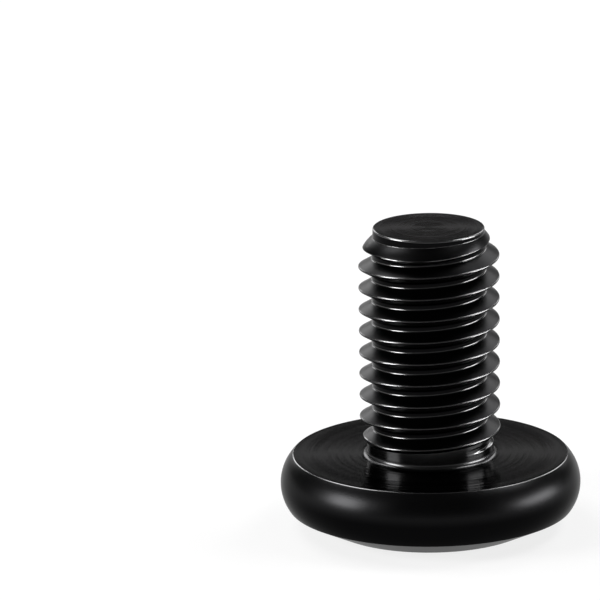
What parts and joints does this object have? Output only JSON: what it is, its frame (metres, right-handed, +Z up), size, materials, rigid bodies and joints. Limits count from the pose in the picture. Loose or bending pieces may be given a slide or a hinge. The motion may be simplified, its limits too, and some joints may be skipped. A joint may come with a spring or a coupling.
{
  "type": "button head socket cap screw",
  "caption": "Short black machine screw with a wide low head, bevelled end face, rounded rim, hexagon socket, plain neck and right-hand coarse metric thread.",
  "frame": {"origin": "centre of the head's flat end face, on which the screw stands", "axes": "+Z up the shank, from the head to the point; the socket's corners lie along Y"},
  "size_m": [0.017, 0.017, 0.0173],
  "materials": {
    "black_steel": "glossy black oxide on turned steel"
  },
  "bodies": {
    "root": {"screw": "black_steel"}
  },
  "joints": []
}
